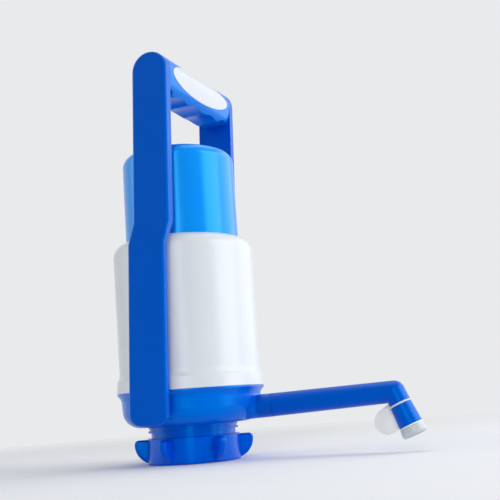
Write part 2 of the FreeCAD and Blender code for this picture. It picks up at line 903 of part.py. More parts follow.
def make_spring():
    """Return spring inside the bellows: one round wire, its turns made of two arcs per quarter turn."""
    bottom = plate_top + S.spring_wire + 0.2
    top = plunger_bottom - S.spring_wire - 0.2
    radius, wire = S.spring_radius.value, S.spring_wire.value
    steps = int(S.spring_turns.value) * 4
    climb = (top.value - bottom.value) / steps
    slope = climb / (math.pi / 2)

    def on_turn(step):
        angle = step * math.pi / 2
        place_there = FreeCAD.Vector(radius * math.cos(angle), radius * math.sin(angle), bottom.value + climb * step)
        way = FreeCAD.Vector(-radius * math.sin(angle), radius * math.cos(angle), slope)
        return place_there, way.normalize()

    arcs = []
    for step in range(steps):
        (start, start_way), (finish, finish_way) = on_turn(step), on_turn(step + 1)
        arcs += biarc(start, finish, start_way, finish_way)
    one_turn = 8
    gaps = [
        arcs[index].distToShape(Part.Compound(arcs[index + one_turn - 2 :]))[0]
        for index in range(len(arcs) - one_turn + 2)
    ]
    print(f"return_spring: least gap of the wire to itself {min(gaps) - wire * 2:.2f} mm")
    path = doc.addObject("Part::Feature", "spring_path")
    path.Shape = Part.Wire(arcs)
    section = doc.addObject("Part::Circle", "spring_section")
    bind(section, "Radius", S.spring_wire)
    start, way = on_turn(0)
    section.Placement = FreeCAD.Placement(start, FreeCAD.Rotation(FreeCAD.Vector(0, 0, 1), way))
    doc.recompute()
    coil = doc.addObject("Part::Sweep", "return_spring")
    coil.Sections = [section]
    coil.Spine = (path, [f"Edge{number + 1}" for number in range(len(path.Shape.Edges))])
    coil.Solid = True
    coil.Frenet = False
    return node("return_spring", coil)


def make_housing():
    """White housing: lip, slightly flaring wall, round shoulder and guide ribs for the cap."""
    body = new_body("pump_housing")
    wall = S.housing_wall
    seat = spigot_outside + 0.3
    lip_top = cup_rim + S.housing_lip_height
    blend_top = lip_top + S.housing_lip_blend
    shoulder = S.housing_shoulder
    mouth = S.cap_radius + S.cap_slide_gap
    shoulder_start = housing_top - shoulder
    bead_bottom = cup_rim + 2.6
    bead_top = bead_bottom + S.snap_bead_height
    bead = S.snap_bead
    shape = sketch_on(body, "XZ_Plane")
    outline(
        shape,
        (seat, cup_rim),
        (S.housing_lip_radius - 0.4, cup_rim),
        (S.housing_lip_radius, cup_rim + 0.4),
        (S.housing_lip_radius - 0.5, lip_top),
        (S.housing_radius, blend_top, -12),
        (S.housing_top_radius, shoulder_start),
        (mouth, housing_top, shoulder),
        (mouth, housing_top - wall),
        (S.housing_top_radius - wall, shoulder_start - 1.5, -9.5),
        (S.housing_radius - wall, blend_top),
        (seat, bead_top + 2.4),
        (seat, bead_top),
        (seat + bead, bead_bottom + S.snap_bead_height / 2),
        (seat, bead_bottom),
    )
    revolve(body, shape)
    return node("pump_housing", body)


def make_cap():
    """Press cap: a deep thimble with a round top edge, a stop flange and screw posts."""
    body = new_body("press_cap")
    top, wall, edge = S.cap_top_height, S.cap_wall, S.cap_edge_round
    inner = S.cap_radius - wall
    inner_edge = edge - wall
    bottom = S.cap_skirt_bottom
    flange = bottom + S.cap_flange_height
    shape = sketch_on(body, "XZ_Plane")
    outline(
        shape,
        (inner, bottom),
        (S.cap_flange_radius, bottom),
        (S.cap_flange_radius, flange),
        (S.cap_radius, flange),
        (S.cap_radius, top - edge),
        (S.cap_radius - edge, top, edge),
        (0, top),
        (0, top - wall),
        (S.cap_radius - edge, top - wall),
        (inner, top - edge, -inner_edge),
    )
    revolve(body, shape)
    across = S.plunger_screw_circle * math.cos(math.pi / 4)
    post = sketch_on(body, "XY_Plane", lift=plunger_top)
    circle(post, across, across, S.plunger_post_radius)
    post_pad = pad(body, post, S.plunger_depth + 0.3)
    pilot = sketch_on(body, "XY_Plane", lift=plunger_top)
    circle(pilot, across, across, S.screw_radius + 0.05)
    pilot_cut = pad(body, pilot, S.plunger_depth - 1, cut=True, reverse=True)
    polar(body, [post_pad, pilot_cut], S.screw_count)
    return node("press_cap", body)


def grip_underside(inner):
    """Steps of the grip's underside, from its right corner to its left one, and the corner's level.
    Scallops and ridges are arcs that run smoothly into each other."""
    ridge = S.ridge_round
    half_pitch = S.ridge_span / S.scallop_count / 2
    apart = (half_pitch * half_pitch + S.scallop_depth * S.scallop_depth) / (S.scallop_depth * 2)
    scallop = apart - ridge
    ridge_z = S.grip_bottom + ridge
    drop = apart - S.scallop_depth
    meet_across = half_pitch * scallop / apart
    meet_z = ridge_z - drop * ridge / apart

    last_ridge = S.ridge_span / 2
    beside, rise = inner - last_ridge, S.grip_corner_rise
    total = beside + rise + ridge
    corner = total - root(total * total - (beside * beside + rise * rise - ridge * ridge))
    corner_z = ridge_z + rise - corner
    share = ridge / (corner + ridge)
    touch_y = last_ridge + (beside - corner) * share
    touch_z = ridge_z + (rise - corner) * share

    steps = [(touch_y, touch_z, corner)]
    count = int(S.scallop_count.value)
    for index in range(count):
        middle = last_ridge - half_pitch * (index * 2 + 1)
        steps.append((middle + meet_across, meet_z, -ridge))
        steps.append((middle - meet_across, meet_z, scallop))
    steps.append((-touch_y, touch_z, -ridge))
    steps.append((-inner, corner_z, corner))
    return corner_z, steps


def make_handle():
    """Carrying handle: two cranked arms and a grip with finger scallops, in one moulding."""
    body = new_body("handle_moulding")
    foot, half, bottom = S.arm_foot_half_width, S.arm_half_width, S.arm_bottom
    corner = S.arm_foot_round
    side = sketch_on(body, "XZ_Plane")
    outline(
        side,
        (corner - foot, -bottom, corner),
        (foot - corner, -bottom),
        (foot, corner - bottom, corner),
        (half, S.arm_top_centre),
        (-half, S.arm_top_centre, half),
        (-foot, corner - bottom),
    )
    blank = pad(body, side, S.arm_lower_outer * 2, both=True)

    reach = foot * 3
    low = -(bottom + 5)
    inner_low, inner_high = S.arm_lower_inner, S.arm_upper_inner
    corner_z, underside = grip_underside(inner_high)
    inside = sketch_on(body, "YZ_Plane")
    outline(
        inside,
        (-inner_low, low),
        (inner_low, low),
        (inner_low, S.jog_bottom),
        (inner_high, S.jog_top),
        (inner_high, corner_z),
        *underside,
        (-inner_high, S.jog_top),
        (-inner_low, S.jog_bottom),
    )
    pad(body, inside, reach, both=True, cut=True)

    outside = sketch_on(body, "YZ_Plane")
    beyond = S.arm_lower_outer + 5
    top = S.arm_top_centre + half + 5
    outline(
        outside,
        (S.arm_lower_outer, S.jog_bottom),
        (beyond, S.jog_bottom),
        (beyond, top),
        (S.arm_upper_outer, top),
        (S.arm_upper_outer, S.jog_top),
    )
    outer_cut = pad(body, outside, reach, both=True, cut=True)
    shaped = mirror(body, [outer_cut], "XZ_Plane")

    outer_limit = S.arm_upper_outer.value - 0.01
    inner_face = S.arm_lower_inner.value + 0.2

    def arm_outer_edge(edge, middle):
        on_side = abs(middle.x) > 4 or middle.z > S.arm_top_centre.value or middle.z < -5
        straight_up = edge.BoundBox.YLength < 0.01 or edge.BoundBox.ZLength > 5
        upper = abs(middle.y) > outer_limit and middle.z > S.jog_top.value - 1
        lower = abs(middle.y) > inner_face and middle.z < S.jog_top.value
        return on_side and straight_up and (upper or lower)

    round_edges(body, shaped, S.arm_edge_round, arm_outer_edge)

    # The grip narrows downwards between the arms, like an egg, and its ridges end in a round foot
    foot_round = S.grip_foot_round
    to_foot = grip_curve - foot_round
    fall = grip_depth - foot_round
    run = root(to_foot * to_foot - fall * fall)
    foot_x = half - grip_curve + run
    meet_x = half - grip_curve + run * grip_curve / to_foot
    meet_z = S.arm_top_centre - fall * grip_curve / to_foot
    under, beside = S.grip_bottom - 2, half + 3
    flank = sketch_on(body, "XZ_Plane")
    outline(
        flank,
        (foot_x, S.grip_bottom, -foot_round),
        (foot_x, under),
        (beside, under),
        (beside, S.arm_top_centre),
        (half, S.arm_top_centre),
        (meet_x, meet_z, -grip_curve),
    )
    flank_cut = pad(body, flank, inner_high * 2, both=True, cut=True)
    mirror(body, [flank_cut], "YZ_Plane")

    outer_end = S.arm_lower_inner + 0.8
    cup_side = S.cup_radius + S.pivot_spacer_gap
    boss_end = cup_inside - S.pivot_boss_depth + S.cup_wall
    clip_end = boss_end - 0.3
    clip_start = clip_end - S.clip_thickness
    tip = clip_start - 1.2
    stud = sketch_on(body, "YZ_Plane")
    outline(
        stud,
        (tip, 0),
        (outer_end, 0),
        (outer_end, S.pivot_spacer_radius),
        (cup_side, S.pivot_spacer_radius),
        (cup_side, S.pivot_radius),
        (clip_end, S.pivot_radius),
        (clip_end, S.pivot_radius - S.clip_groove_depth),
        (clip_start, S.pivot_radius - S.clip_groove_depth),
        (clip_start, S.pivot_radius),
        (tip + 0.6, S.pivot_radius),
        (tip, S.pivot_radius - 0.6),
    )
    stud_turning = revolve(body, stud, "H_Axis")
    mirror(body, [stud_turning], "XZ_Plane")

    oval = make_oval("panel_recess", S.panel_half_length + S.panel_gap, S.panel_half_height + S.panel_gap)
    bind(oval, "Placement.Base.x", S.panel_seat)
    cut = doc.addObject("Part::Cut", "handle_frame")
    cut.Base = body
    cut.Tool = oval
    place(cut, 0, pivot_z, -S.handle_lean)
    return node("handle_frame", cut)


def make_oval(name, half_length, half_height):
    """An oval prism that points forwards from the middle of the grip."""
    curve = doc.addObject("Part::Ellipse", name + "_curve")
    bind(curve, "MajorRadius", half_length)
    bind(curve, "MinorRadius", half_height)
    level = FreeCAD.Rotation(FreeCAD.Vector(0, 1, 0), FreeCAD.Vector(0, 0, 1), FreeCAD.Vector(1, 0, 0), "ZXY")
    curve.Placement = FreeCAD.Placement(FreeCAD.Vector(), level)
    bind(curve, "Placement.Base.z", S.arm_top_centre)
    prism = doc.addObject("Part::Extrusion", name)
    prism.Base = curve
    prism.DirMode = "Custom"
    prism.Dir = FreeCAD.Vector(1, 0, 0)
    prism.Solid = True
    bind(prism, "LengthFwd", S.arm_half_width * 2)
    return prism


def make_panel():
    """White oval panel in the front of the grip, a little proud of it."""
    oval = make_oval("panel_blank", S.panel_half_length, S.panel_half_height)
    bind(oval, "Placement.Base.x", S.panel_seat + S.panel_gap)
    body = new_body("panel_form")
    radius = S.arm_half_width + S.panel_proud
    drop = S.panel_half_height + 3
    low = S.arm_top_centre - drop
    curve = grip_curve + S.panel_proud
    side = sketch_on(body, "XZ_Plane")
    outline(
        side,
        (0, low),
        (radius - curve + root(curve * curve - drop * drop), low),
        (radius, S.arm_top_centre, curve),
        (0, S.arm_top_centre + radius, radius),
    )
    pad(body, side, S.panel_half_length * 2 + 4, both=True)
    panel = doc.addObject("Part::Common", "grip_panel")
    panel.Base = body
    panel.Tool = oval
    place(panel, 0, pivot_z, -S.handle_lean)
    return node("grip_panel", panel)


def make_clips():
    """Two spring clips that hold the handle's studs inside the cup."""
    body = new_body("pivot_clips")
    body.AllowCompound = True
    boss_end = cup_inside - S.pivot_boss_depth + S.cup_wall
    outer_face = boss_end - 0.35
    inner_face = outer_face - (S.clip_thickness - 0.1)
    bore = S.pivot_radius - S.clip_groove_depth + 0.05
    shape = sketch_on(body, "YZ_Plane")
    outline(
        shape,
        (inner_face, bore),
        (outer_face, bore),
        (outer_face, bore + S.clip_width),
        (inner_face, bore + S.clip_width),
    )
    turned = revolve(body, shape, "H_Axis")
    mirror(body, [turned], "XZ_Plane")
    place(body, 0, pivot_z, -S.handle_lean)
    return node("pivot_clips", body)


def elbow_corner():
    """World place of the elbow's corner, from the spout's reach and tilt."""
    angle = math.radians(S.spout_tilt.value)
    slope = f"({S.spout_tilt.formula} * 1 deg)"
    reach = S.elbow_reach
    across = Length(reach.value * math.cos(angle), f"({reach.formula} * cos{slope})")
    up = Length(reach.value * math.sin(angle), f"({reach.formula} * sin{slope})")
    return across, spout_z + up


def make_spout():
    """Spout: a spigot in the stub, a slowly thinning tube, a ball elbow and the neck of the nozzle."""
    body = new_body("spout_tube")
    shoulder = S.stub_end + S.seam_gap
    spigot_start = S.stub_end - S.stub_socket_depth + 0.5
    end_radius = S.tube_end_radius
    groove_start = spigot_start + 3
    groove_end = groove_start + S.seal_groove * 2
    tube = sketch_on(body, "XZ_Plane")
    outline(
        tube,
        (spigot_start, 0),
        (S.elbow_reach + end_radius, 0),
        (S.elbow_reach, end_radius, end_radius),
        (shoulder + 0.3, S.tube_root_radius),
        (shoulder, S.tube_root_radius - 0.3),
        (shoulder, S.spigot_radius),
        (groove_end, S.spigot_radius),
        (groove_end, S.spigot_radius - S.seal_groove),
        (groove_start, S.spigot_radius - S.seal_groove),
        (groove_start, S.spigot_radius),
        (spigot_start + 0.5, S.spigot_radius),
        (spigot_start, S.spigot_radius - 0.5),
    )
    revolve(body, tube, "H_Axis")
    bend = S.nozzle_angle - S.spout_tilt
    neck = sketch_on(body, "XZ_Plane", at=(S.elbow_reach, 0), turn=bend)
    neck_end = S.neck_length + S.ring_height + S.seam_gap * 2 + S.neck_spigot_length
    outline(
        neck,
        (0, 0),
        (0, -neck_end),
        (S.neck_spigot_radius, -neck_end),
        (S.neck_spigot_radius, -S.neck_length),
        (end_radius, -S.neck_length),
        (end_radius, 0),
    )
    revolve(body, neck)
    tube_bore = sketch_on(body, "XZ_Plane")
    outline(
        tube_bore,
        (spigot_start - 1, 0),
        (S.elbow_reach, 0),
        (S.elbow_reach, S.tube_bore_radius),
        (spigot_start - 1, S.tube_bore_radius * 0.82),
    )
    revolve(body, tube_bore, "H_Axis", cut=True)
    neck_bore = sketch_on(body, "XZ_Plane", at=(S.elbow_reach, 0), turn=bend)
    bore = S.tube_bore_radius
    outline(
        neck_bore,
        (0, bore),
        (-bore, 0, bore),
        (-bore, -neck_end - 1),
        (0, -neck_end - 1),
    )
    revolve(body, neck_bore, cut=True)
    place(body, 0, spout_z, S.spout_tilt)
    return node("spout_tube", body)


def make_spout_seal():
    """O-ring in the spigot's groove."""
    body = new_body("spout_oring")
    inner = S.spigot_radius - S.seal_groove + 0.05
    spigot_start = S.stub_end - S.stub_socket_depth + 0.5
    start = spigot_start + 3 + 0.1
    end = start + S.seal_groove * 2 - 0.2
    outer = S.spigot_radius + 0.03
    shape = sketch_on(body, "XZ_Plane")
    outline(
        shape,
        (start, inner),
        (end, inner),
        (end, outer - 0.3),
        (end - 0.3, outer),
        (start + 0.3, outer),
        (start, outer - 0.3),
    )
    revolve(body, shape, "H_Axis")
    place(body, 0, spout_z, S.spout_tilt)
    return node("spout_oring", body)


ring_top = S.neck_length + S.seam_gap
ring_bottom = ring_top + S.ring_height
sleeve_top = ring_bottom + S.seam_gap


def place_on_nozzle(thing):
    across, up = elbow_corner()
    place(thing, across, up, S.nozzle_angle)


def make_sleeve():
    """Blue nozzle sleeve: a slightly flared tube pressed on the neck's spigot."""
    body = new_body("nozzle_sleeve")
    bore = S.neck_spigot_radius + 0.02
    spigot_end = S.neck_length + S.ring_height + S.seam_gap * 2 + S.neck_spigot_length
    shape = sketch_on(body, "XZ_Plane")
    outline(
        shape,
        (bore, -sleeve_top),
        (bore, -spigot_end),
        (S.tip_bore_radius - 0.6, -(S.sleeve_end - S.tip_socket_depth)),
        (S.tip_bore_radius - 0.6, -S.sleeve_end),
        (S.sleeve_end_radius, -S.sleeve_end),
        (S.sleeve_top_radius, -sleeve_top),
    )
    revolve(body, shape)
    place_on_nozzle(body)
    return node("nozzle_sleeve", body)


def make_tip():
    """Clear nozzle tip: a flared cup with a round lip, held in the sleeve by a short skirt."""
    body = new_body("nozzle_tip")
    skirt_out = S.tip_bore_radius - 0.62
    skirt_in = skirt_out - 1.2
    top = S.sleeve_end + 0.05
    skirt_top = S.sleeve_end - S.tip_socket_depth + 0.4
    rounding = S.tip_round
    bore = S.tip_bore_radius
    shape = sketch_on(body, "XZ_Plane")
    outline(
        shape,
        (skirt_in, -skirt_top),
        (skirt_in, -(top + 1.2)),
        (bore, -(top + 1.2)),
        (bore, -(S.tip_end - 0.4)),
        (bore + 0.2, -S.tip_end),
        (S.tip_radius - rounding + 0.9, -S.tip_end),
        (S.tip_radius, -(S.tip_end - rounding), rounding),
        (S.sleeve_end_radius, -top),
        (skirt_out, -top),
        (skirt_out, -skirt_top),
    )
    revolve(body, shape)
    place_on_nozzle(body)
    return node("nozzle_tip", body)


def make_tether_ring():
    """White ring that turns on the neck, with an ear that the lid hangs from."""
    body = new_body("tether_ring")
    bore = S.neck_spigot_radius + S.ring_bore_gap
    outer = S.ring_radius
    edge = S.ring_height / 3
    shape = sketch_on(body, "XZ_Plane")
    outline(
        shape,
        (bore, -ring_bottom),
        (outer - edge, -ring_bottom),
        (outer, edge - ring_bottom),
        (outer, -(ring_top + edge)),
        (outer - edge, -ring_top),
        (bore, -ring_top),
    )
    revolve(body, shape)
    ear = sketch_on(body, "XZ_Plane")
    tip = S.lid_eye_across - S.lid_eye_radius - S.lid_eye_gap
    outline(
        ear,
        (-tip, -ring_bottom),
        (1.0 - outer, -ring_bottom),
        (1.0 - outer, -ring_top),
        (-tip, -ring_top),
    )
    pad(body, ear, S.ear_width, both=True)
    place_on_nozzle(body)
    return node("tether_ring", body)


def make_lid():
    """Plug lid: a teardrop plate that hangs edge-on beside the nozzle, with its plug on the far side."""
    body = new_body("spout_lid")
    plate = sketch_on(body, "XZ_Plane", at=(-S.lid_across, -S.lid_down))
    across = S.lid_across.value - S.lid_eye_across.value
    down = S.lid_down.value - S.lid_eye_down.value
    turn = math.degrees(math.atan2(down, across))
    spread = math.hypot(across, down)
    angle = math.acos((S.lid_radius.value - S.lid_eye_radius.value) / spread)
    plate.AttachmentOffset = FreeCAD.Placement(
        plate.AttachmentOffset.Base, FreeCAD.Rotation(FreeCAD.Vector(0, 0, 1), turn)
    )
    delta = f"({S.lid_across.formula} - {S.lid_eye_across.formula})"
    fall = f"({S.lid_down.formula} - {S.lid_eye_down.formula})"
    plate.setExpression("AttachmentOffset.Rotation.Angle", f"atan({fall} / {delta})")
    run = Length(spread, f"sqrt({delta} * {delta} + {fall} * {fall})")
    ratio = (S.lid_radius - S.lid_eye_radius) / run
    cosine = ratio
    sine = Length(math.sin(angle), f"sqrt(1 - {ratio.formula} * {ratio.formula})")
    big, small = S.lid_radius, S.lid_eye_radius
    outline(
        plate,
        (run + small * cosine, -(small * sine)),
        (run + small, 0, small),
        (run + small * cosine, small * sine, small),
        (big * cosine, big * sine),
        (-big, 0, big),
        (big * cosine, -(big * sine), big),
    )
    pad(body, plate, S.lid_thickness, both=True)
    plug = sketch_on(body, "XZ_Plane", at=(-S.lid_across, -S.lid_down))
    circle(plug, 0, 0, S.lid_plug_radius)
    circle(plug, 0, 0, S.lid_plug_radius - S.lid_plug_wall)
    pad(body, plug, S.lid_thickness / 2 + S.lid_plug_height, reverse=True)
    place_on_nozzle(body)
    return node("spout_lid", body)


make_collet()
make_nut()
make_gasket()
make_cup()
make_duct()
make_ring_seal("duct_seal", S.duct_ring_radius, S.duct_ring_wire, duct_groove_floor + S.duct_ring_wire + 0.02)
make_plate("valve_plate", plate_bottom, plate_radius, True, S.plate_screw_circle)
make_screws("plate_screws", S.plate_screw_circle, plate_top, S.plate_screw_length, True)
make_flap("check_flap", plate_bottom)
make_bellows()
make_band("lower_bellows_band", plate_top + 1.4)
make_band("upper_bellows_band", plunger_bottom - 1.4 - S.clip_band_height)
make_spring()
make_housing()
make_cap()
make_plate("plunger_plate", plunger_bottom, S.plunger_radius, False, S.plunger_screw_circle)
make_screws("plunger_screws", S.plunger_screw_circle, plunger_bottom, S.plunger_screw_length, False)
make_flap("intake_flap", plunger_bottom)
make_handle()
make_panel()
make_clips()
make_spout()
make_spout_seal()
make_sleeve()
make_tip()
make_tether_ring()
make_lid()
doc.recompute()

faults = []
for thing in doc.Objects:
    if "Invalid" in thing.State or "Error" in thing.State:
        faults.append(f"{thing.Name}: {thing.State}")
for name, thing in NODES.items():
    if thing.Shape.isNull() or not thing.Shape.isValid() or not thing.Shape.Solids:
        faults.append(f"{name}: no valid solid")
if faults:
    raise SystemExit("\n".join(faults))
for name, thing in NODES.items():
    thing.Shape.exportStep(f"parts/{name}.step")
    box = thing.Shape.BoundBox
    size = f"{box.XMin:.1f} {box.YMin:.1f} {box.ZMin:.1f} to {box.XMax:.1f} {box.YMax:.1f} {box.ZMax:.1f}"
    print(f"{name}: {len(thing.Shape.Solids)} solid, {thing.Shape.Volume:.0f} mm3, {size}")
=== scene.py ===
# %% [markdown]
# # A hand pump for a water jug
# The pump is a set of moulded plastic pieces: a nut with finger wings, a cup, a white housing, a cap
# that is pressed down, a carrying handle and a spout. The measured solids come in first as a frame.
# Everything made here is set against them, so a piece sits where the real one does.

# %% The frame
import json
import math

import bpy
from mathutils import Matrix, Vector


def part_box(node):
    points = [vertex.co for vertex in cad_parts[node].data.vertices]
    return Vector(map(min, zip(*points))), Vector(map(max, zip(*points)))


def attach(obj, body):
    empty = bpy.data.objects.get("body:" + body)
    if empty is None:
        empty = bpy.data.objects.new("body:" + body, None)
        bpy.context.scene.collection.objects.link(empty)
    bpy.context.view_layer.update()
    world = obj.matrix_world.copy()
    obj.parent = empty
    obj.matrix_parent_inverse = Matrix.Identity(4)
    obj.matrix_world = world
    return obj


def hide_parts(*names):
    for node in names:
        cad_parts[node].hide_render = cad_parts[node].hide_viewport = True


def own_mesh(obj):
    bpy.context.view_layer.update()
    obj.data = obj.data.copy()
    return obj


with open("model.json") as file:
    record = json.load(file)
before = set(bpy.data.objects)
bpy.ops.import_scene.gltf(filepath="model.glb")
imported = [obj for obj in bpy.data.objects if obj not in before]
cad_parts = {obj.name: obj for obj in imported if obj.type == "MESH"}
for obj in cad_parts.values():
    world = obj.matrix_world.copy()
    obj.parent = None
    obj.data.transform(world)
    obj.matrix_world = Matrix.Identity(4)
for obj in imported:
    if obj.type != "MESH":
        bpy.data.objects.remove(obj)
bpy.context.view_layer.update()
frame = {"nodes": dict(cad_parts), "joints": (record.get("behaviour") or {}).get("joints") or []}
nodes = frame["nodes"]
MM = 0.001
print("solids in the frame:", len(nodes))

# %% [markdown]
# ## Colours
# A colour is written as the hex value that a screen shows. Blender's shaders work in linear light, so
# one function turns a hex value into that. Every colour below goes through it.

# %% Hex to linear light
def linear(hex_colour):
    """The linear RGBA of a colour written as RRGGBB."""
    channels = [int(hex_colour[i : i + 2], 16) / 255 for i in (0, 2, 4)]
    turned = [c / 12.92 if c <= 0.04045 else ((c + 0.055) / 1.055) ** 2.4 for c in channels]
    return (*turned, 1.0)


print("mid grey in linear light:", [round(c, 3) for c in linear("808080")])


# %% [markdown]
# ## A helper for shader nodes
# A material is a small tree of nodes. Adding one node, setting its options and joining its sockets takes
# several lines by hand, so one function does all three. A socket is given either a plain value or
# another node's output.

# %% Adding one shader node
def add(tree, kind, sockets=None, **options):
    """A new node with its options set and each socket given a value or joined to an output."""
    made = tree.nodes.new(kind)
    for option, value in options.items():
        setattr(made, option, value)
    for socket, value in (sockets or {}).items():
        if isinstance(value, bpy.types.NodeSocket):
            tree.links.new(value, made.inputs[socket])
        else:
            made.inputs[socket].default_value = value
    return made


def empty_material(name):
    """A material whose tree has no nodes yet, and that tree."""
    material = bpy.data.materials.new(name)
    material.use_nodes = True
    material.node_tree.nodes.clear()
    return material, material.node_tree


# %% [markdown]
# ## Moulded polypropylene
# Nearly every piece is injection moulded polypropylene with the pigment mixed in. It isn't painted, so
# the colour goes right through, and it clouds a little where the melt flowed. The steel mould was
# polished, which leaves a gloss with very faint waves. Handling then dulls the gloss in patches and
# leaves hair-fine scratches along the piece. Each of those is one noise whose scale is one over its real
# size. The grain and the scratches are drawn coarser than the real ones, so that they show.

# %% Polypropylene in any pigment
CLOUD, SMUDGE, WAVE, GRAIN = 40 * MM, 50 / 3 * MM, 6.25 * MM, 0.5 * MM
WAVE_DEPTH, GRAIN_DEPTH = 0.2 * MM, 0.05 * MM
SCRATCH_LENGTH, SCRATCH_FINENESS = 6.35 * MM, 20.0
WEAR, HAIRLINE = 0.01, 0.05


def moulded_polypropylene(name, pigment, clouded, gloss, glow=0.0, shine=0.5, tint="FFFFFF"):
    """Gloss plastic. `clouded` is the second pigment, `gloss` the roughness, `glow` the light that
    spreads inside the wall, `shine` the strength of its reflections and `tint` their colour."""
    material, tree = empty_material(name)
    place = add(tree, "ShaderNodeTexCoord").outputs["Object"]
    clouds = add(
        tree,
        "ShaderNodeTexNoise",
        {"Vector": place, "Scale": 1 / CLOUD, "Detail": 3.0, "Roughness": 0.55},
    )
    colour = add(
        tree,
        "ShaderNodeMix",
        {"Factor": clouds.outputs["Fac"], "A": linear(pigment), "B": linear(clouded)},
        data_type="RGBA",
    )
    smudges = add(
        tree,
        "ShaderNodeTexNoise",
        {"Vector": place, "Scale": 1 / SMUDGE, "Detail": 4.0, "Roughness": 0.6},
    )
    worn = add(
        tree,
        "ShaderNodeMapRange",
        {
            "Value": smudges.outputs["Fac"],
            "From Min": 0.4,
            "From Max": 0.72,
            "To Min": gloss,
            "To Max": gloss + WEAR,
        },
    )
    stretched = add(
        tree, "ShaderNodeMapping", {"Vector": place, "Scale": (SCRATCH_FINENESS, SCRATCH_FINENESS, 1.0)}
    )
    scratches = add(
        tree,
        "ShaderNodeTexNoise",
        {"Vector": stretched.outputs["Vector"], "Scale": 1 / SCRATCH_LENGTH, "Detail": 2.0},
    )
    scratched = add(
        tree,
        "ShaderNodeMapRange",
        {"Value": scratches.outputs["Fac"], "From Min": 0.62, "From Max": 0.8, "To Max": HAIRLINE},
    )
    roughness = add(
        tree, "ShaderNodeMath", {0: worn.outputs[0], 1: scratched.outputs[0]}, operation="ADD"
    )
    waves = add(tree, "ShaderNodeTexNoise", {"Vector": place, "Scale": 1 / WAVE, "Detail": 2.0})
    wavy = add(
        tree,
        "ShaderNodeBump",
        {"Height": waves.outputs["Fac"], "Strength": 0.01, "Distance": WAVE_DEPTH},
    )
    grain = add(tree, "ShaderNodeTexNoise", {"Vector": place, "Scale": 1 / GRAIN, "Detail": 1.0})
    surface = add(
        tree,
        "ShaderNodeBump",
        {
            "Height": grain.outputs["Fac"],
            "Strength": 0.015,
            "Distance": GRAIN_DEPTH,
            "Normal": wavy.outputs["Normal"],
        },
    )
    shader = add(
        tree,
        "ShaderNodeBsdfPrincipled",
        {
            "Base Color": colour.outputs["Result"],
            "Roughness": roughness.outputs["Value"],
            "Normal": surface.outputs["Normal"],
            "IOR": 1.49,
            "Specular IOR Level": shine,
            "Specular Tint": linear(tint),
            "Subsurface Weight": glow,
            "Subsurface Radius": (0.004, 0.004, 0.004),
            "Subsurface Scale": 1.0,
        },
    )
    add(tree, "ShaderNodeOutputMaterial", {"Surface": shader.outputs["BSDF"]})
    print(name, "in", pigment)
    return material


# %% [markdown]
# ## Blues and whites
# The arms, the nut, the cup, the cap and the spout are moulded at different times from different batches,
# so no two blues are alike. Their gloss shows the daylight as azure, which the tint of the reflections
# gives. The whites pass a little light, so that their shadows stay soft.

# %% Eight plastics
AZURE, PALE_AZURE = "00C8FF", "50DCFF"
arm_blue = moulded_polypropylene(
    "polypropylene moulded deep blue", "004CC0", "0052C8", gloss=0.28, shine=0.6, tint=AZURE
)
nut_blue = moulded_polypropylene(
    "polypropylene moulded royal blue", "004CD0", "0052D8", gloss=0.24, shine=0.8, tint=AZURE
)
cup_blue = moulded_polypropylene(
    "polypropylene moulded sky blue", "0060D6", "0066DC", gloss=0.24, shine=1.0, tint=AZURE
)
cap_blue = moulded_polypropylene(
    "polypropylene moulded azure", "0088EE", "008EF4", gloss=0.2, glow=0.03, shine=1.0, tint=PALE_AZURE
)
spout_blue = moulded_polypropylene(
    "polypropylene moulded ink blue", "0042BE", "0048C6", gloss=0.36, shine=1.0, tint=AZURE
)
milk_white = moulded_polypropylene(
    "polypropylene moulded milk white", "D6DBE0", "D9DEE3", gloss=0.26, glow=0.1
)
# The grip panel is the same milk white plastic as the housing. Its greyer pigment is painted shade, which
# keeps the panel that faces the lamps from burning out.
panel_white_painted_shade = moulded_polypropylene(
    "polypropylene moulded milk white with painted shade", "CCD1D8", "D0D5DC", gloss=0.3, glow=0.05
)
lid_white = moulded_polypropylene(
    "polypropylene moulded warm white", "FFFCF0", "FFFDF4", gloss=0.3, glow=0.2
)

# %% [markdown]
# ## Painted light on the grip, a second shade on the stub
# The grip is painted brighter than the arms it joins. It is the same plastic, and its lighter azure is
# painted light where the grip faces the lamps on the right. The stub on the cup is as dark as the spout.
# Each is one moulding with its neighbour, so the second shade is mixed in by place: a map range turns a
# coordinate of the piece into a share from 0 to 1 over two millimetres.

# %% Shade by place
def share_along(tree, axis, start, end, folded=False):
    """A share that goes from 0 at `start` to 1 at `end`, alike on both sides if folded."""
    place = add(tree, "ShaderNodeTexCoord").outputs["Object"]
    along = add(tree, "ShaderNodeSeparateXYZ", {"Vector": place}).outputs[axis]
    if folded:
        along = add(tree, "ShaderNodeMath", {0: along}, operation="ABSOLUTE").outputs[0]
    ramp = add(tree, "ShaderNodeMapRange", {"Value": along, "From Min": start, "From Max": end})
    return ramp.outputs[0]


def second_shade(material, pigment, share):
    """Mix another pigment into a material's colour by a share."""
    tree = material.node_tree
    shader = next(made for made in tree.nodes if made.type == "BSDF_PRINCIPLED")
    own = shader.inputs["Base Color"].links[0].from_socket
    both = add(
        tree, "ShaderNodeMix", {"Factor": share, "A": own, "B": linear(pigment)}, data_type="RGBA"
    )
    tree.links.new(both.outputs["Result"], shader.inputs["Base Color"])
    print(material.name, "has a second shade", pigment)


ARM_INSIDE, GRIP_FLOOR, STUB_START, BLEND = 47.9 * MM, 250 * MM, 53 * MM, 2 * MM
arm_tree = arm_blue.node_tree
between_arms = share_along(arm_tree, "Y", ARM_INSIDE, ARM_INSIDE - BLEND, folded=True)
high_up = share_along(arm_tree, "Z", GRIP_FLOOR - BLEND, GRIP_FLOOR)
